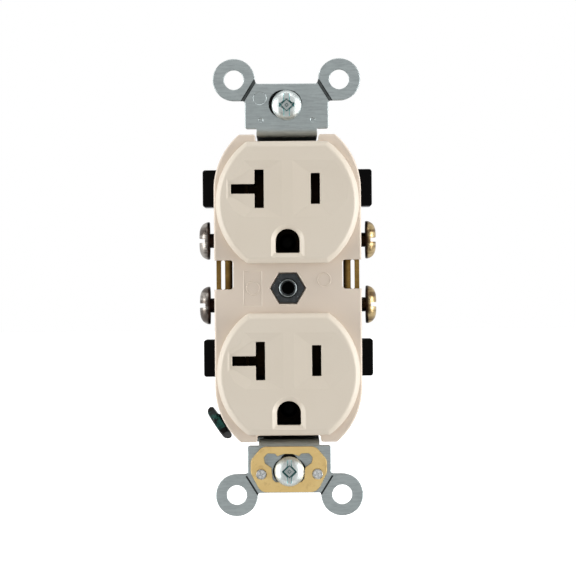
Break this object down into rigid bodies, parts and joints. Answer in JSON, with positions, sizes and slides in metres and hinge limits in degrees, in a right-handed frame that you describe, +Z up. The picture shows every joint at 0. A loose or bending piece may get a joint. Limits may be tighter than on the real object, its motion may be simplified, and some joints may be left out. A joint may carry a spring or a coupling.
{
  "type": "duplex wall outlet",
  "caption": "Duplex wall outlet: raised outlet faces on a moulded case, wrap-around steel mounting strap with break-off ears, side screw terminals and a grounding clip.",
  "frame": {"origin": "midway between the two mounting screws, in the plane of the strap's rear face, which lies on the wall", "axes": "+Z up along the device, +X to the right as seen from the front, +Y into the wall box, so the outlet faces look along -Y"},
  "size_m": [0.04, 0.034, 0.1042],
  "materials": {
    "cover_plastic": "light almond moulded thermoplastic, satin",
    "body_plastic": "black moulded thermoplastic",
    "strap_steel": "galvanised steel, rolled finish",
    "dark_steel": "dark plated steel",
    "contact_brass": "stamped brass",
    "brass_screw": "brass plated",
    "nickel_screw": "nickel plated",
    "zinc_screw": "bright zinc plated",
    "rivet_steel": "bright zinc plated",
    "green_screw": "dark green dyed plating",
    "black_fibre": "vulcanised fibre"
  },
  "bodies": {
    "device": {"face_cover": "cover_plastic", "back_body": "body_plastic", "mounting_strap": "strap_steel", "center_post": "dark_steel", "line_bus": "contact_brass", "neutral_bus": "contact_brass", "upper_ground_contact": "contact_brass", "lower_ground_contact": "contact_brass", "upper_ground_rivet": "rivet_steel", "lower_ground_rivet": "rivet_steel", "self_grounding_clip": "contact_brass", "left_clip_rivet": "rivet_steel", "right_clip_rivet": "rivet_steel", "lower_screw_retainer": "black_fibre"},
    "upper_line_plate": {"upper_line_clamp": "contact_brass"},
    "upper_line_terminal_screw": {"upper_line_screw": "brass_screw"},
    "lower_line_plate": {"lower_line_clamp": "contact_brass"},
    "lower_line_terminal_screw": {"lower_line_screw": "brass_screw"},
    "upper_neutral_plate": {"upper_neutral_clamp": "contact_brass"},
    "upper_neutral_terminal_screw": {"upper_neutral_screw": "nickel_screw"},
    "lower_neutral_plate": {"lower_neutral_clamp": "contact_brass"},
    "lower_neutral_terminal_screw": {"lower_neutral_screw": "nickel_screw"},
    "ground_terminal_screw": {"ground_screw": "green_screw"},
    "upper_retainer": {"upper_screw_retainer": "black_fibre"},
    "upper_device_screw": {"upper_mounting_screw": "zinc_screw"},
    "lower_device_screw": {"lower_mounting_screw": "zinc_screw"}
  },
  "joints": [
    {"name": "upper_line_clamping", "type": "slide", "parent": "device", "child": "upper_line_plate", "axis": [-1, 0, 0], "range_m": [0, 0.00238]},
    {"name": "upper_line_turn", "type": "hinge", "parent": "upper_line_plate", "child": "upper_line_terminal_screw", "pos_m": [0.0176, 0.0083, 0.01105], "axis": [-1, 0, 0], "range_deg": [0, 1080]},
    {"name": "lower_line_clamping", "type": "slide", "parent": "device", "child": "lower_line_plate", "axis": [-1, 0, 0], "range_m": [0, 0.00238]},
    {"name": "lower_line_turn", "type": "hinge", "parent": "lower_line_plate", "child": "lower_line_terminal_screw", "pos_m": [0.0176, 0.0083, -0.00385], "axis": [-1, 0, 0], "range_deg": [0, 1080]},
    {"name": "upper_neutral_clamping", "type": "slide", "parent": "device", "child": "upper_neutral_plate", "axis": [1, 0, 0], "range_m": [0, 0.00238]},
    {"name": "upper_neutral_turn", "type": "hinge", "parent": "upper_neutral_plate", "child": "upper_neutral_terminal_screw", "pos_m": [-0.0176, 0.0083, 0.01105], "axis": [1, 0, 0], "range_deg": [0, 1080]},
    {"name": "lower_neutral_clamping", "type": "slide", "parent": "device", "child": "lower_neutral_plate", "axis": [1, 0, 0], "range_m": [0, 0.00238]},
    {"name": "lower_neutral_turn", "type": "hinge", "parent": "lower_neutral_plate", "child": "lower_neutral_terminal_screw", "pos_m": [-0.0176, 0.0083, -0.00385], "axis": [1, 0, 0], "range_deg": [0, 1080]},
    {"name": "ground_turn", "type": "hinge", "parent": "device", "child": "ground_terminal_screw", "pos_m": [-0.01534, 0.0092, -0.03054], "axis": [0.8319, 0, 0.5549], "range_deg": [0, 950]},
    {"name": "upper_screw_shift", "type": "slide", "parent": "device", "child": "upper_retainer", "axis": [1, 0, 0], "range_m": [-0.0016, 0.0016]},
    {"name": "upper_device_turn", "type": "hinge", "parent": "upper_retainer", "child": "upper_device_screw", "pos_m": [0, -0.0016, 0.04167], "axis": [0, 1, 0], "continuous": true},
    {"name": "lower_device_turn", "type": "hinge", "parent": "device", "child": "lower_device_screw", "pos_m": [0, -0.00235, -0.04167], "axis": [0, 1, 0], "continuous": true}
  ],
  "couplings": [
    {"joint": "upper_line_turn", "follows": "upper_line_clamping", "rad_per_m": 7915.8},
    {"joint": "lower_line_turn", "follows": "lower_line_clamping", "rad_per_m": 7915.8},
    {"joint": "upper_neutral_turn", "follows": "upper_neutral_clamping", "rad_per_m": 7915.8},
    {"joint": "lower_neutral_turn", "follows": "lower_neutral_clamping", "rad_per_m": 7915.8}
  ]
}
